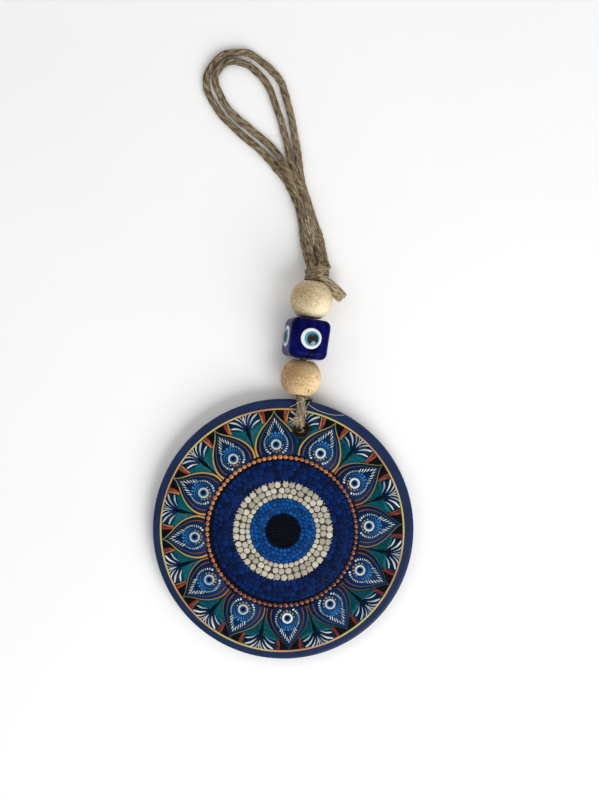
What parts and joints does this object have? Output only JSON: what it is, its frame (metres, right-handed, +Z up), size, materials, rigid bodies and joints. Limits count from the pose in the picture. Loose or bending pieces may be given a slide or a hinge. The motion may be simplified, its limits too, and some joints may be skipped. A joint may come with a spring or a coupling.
{
  "type": "evil eye ornament",
  "caption": "Round printed plaque with an eye and petal pattern, on a knotted jute twine hanger with two wooden beads and a glass eye cube.",
  "frame": {"origin": "on the surface that the ornament lies on, under the plaque's centre", "axes": "+Z up from that surface, +Y from the plaque's centre to its hanging hole, +X to the right with the printed face up"},
  "size_m": [0.1103, 0.2296, 0.0174],
  "materials": {
    "lacquered_board": "navy lacquered fibreboard, satin, bare brown fibreboard inside the hole",
    "navy_paint": "navy paint with fine grain",
    "blue_paint": "blue paint, satin",
    "light_blue_paint": "light blue pebbled paint",
    "white_paint": "off-white pebbled paint",
    "black_paint": "black pebbled paint",
    "copper_paint": "copper paint dots, golden towards the left",
    "gold_paint": "gold line, yellow and orange by turns",
    "bare_wood": "pale unvarnished turned wood with fine end grain",
    "cobalt_glass": "cobalt blue lampwork glass, glossy",
    "white_glass": "opaque white glass, glossy",
    "light_blue_glass": "opaque light blue glass, glossy",
    "black_glass": "opaque black glass, glossy",
    "jute": "twisted raw jute twine with loose fibres"
  },
  "bodies": {
    "plaque": {"plaque_board": "lacquered_board", "printed_ground": "navy_paint", "gold_rim_line": "gold_paint", "eye_pupil_paint": "black_paint", "eye_light_blue_paint": "light_blue_paint", "eye_white_paint": "white_paint", "eye_dark_blue_paint": "navy_paint", "copper_dot_ring": "copper_paint", "petals_paint": "blue_paint", "petal_eye_rings": "white_paint", "fan_paint": "black_paint"},
    "lead": {"twine_bight": "jute", "twine_front_leg": "jute", "twine_back_leg": "jute", "twine_back_run": "jute"},
    "stack": {"twine_core": "jute", "twine_knot": "jute", "twine_tails": "jute"},
    "lower_bead": {"lower_bead": "bare_wood"},
    "cube": {"glass_cube": "cobalt_glass", "top_eye_white": "white_glass", "top_eye_blue": "light_blue_glass", "top_eye_black": "black_glass", "left_eye_white": "white_glass", "left_eye_blue": "light_blue_glass", "left_eye_black": "black_glass", "bottom_eye_white": "white_glass", "bottom_eye_blue": "light_blue_glass", "bottom_eye_black": "black_glass", "right_eye_white": "white_glass", "right_eye_blue": "light_blue_glass", "right_eye_black": "black_glass"},
    "upper_bead": {"upper_bead": "bare_wood"},
    "loop": {"twine_outer_loop": "jute", "twine_inner_loop": "jute"}
  },
  "joints": [
    {"name": "hanger_swing", "type": "hinge", "parent": "plaque", "child": "lead", "pos_m": [0, 0.03899, 0.00241], "axis": [0, -0.027, 0.9996], "range_deg": [-22, 2]},
    {"name": "hanger_fold", "type": "hinge", "parent": "lead", "child": "stack", "pos_m": [-0.0022, 0.0507, 0.0089], "axis": [0.9992, 0.0401, 0], "range_deg": [-12, 110], "deforming": ["twine_front_leg", "twine_back_leg"]},
    {"name": "lower_bead_spin", "type": "hinge", "parent": "stack", "child": "lower_bead", "pos_m": [-0.0034, 0.0582, 0.00775], "axis": [-0.0401, 0.9992, 0], "continuous": true},
    {"name": "cube_spin", "type": "hinge", "parent": "stack", "child": "cube", "pos_m": [-0.004, 0.0731, 0.00872], "axis": [-0.0401, 0.9992, 0], "continuous": true},
    {"name": "upper_bead_spin", "type": "hinge", "parent": "stack", "child": "upper_bead", "pos_m": [-0.0046, 0.0882, 0.00805], "axis": [-0.0401, 0.9992, 0], "continuous": true},
    {"name": "loop_fold", "type": "hinge", "parent": "stack", "child": "loop", "pos_m": [-0.0048, 0.1022, 0.0065], "axis": [0.9992, 0.0401, 0], "range_deg": [-90, 120], "deforming": ["twine_outer_loop", "twine_inner_loop"]}
  ]
}
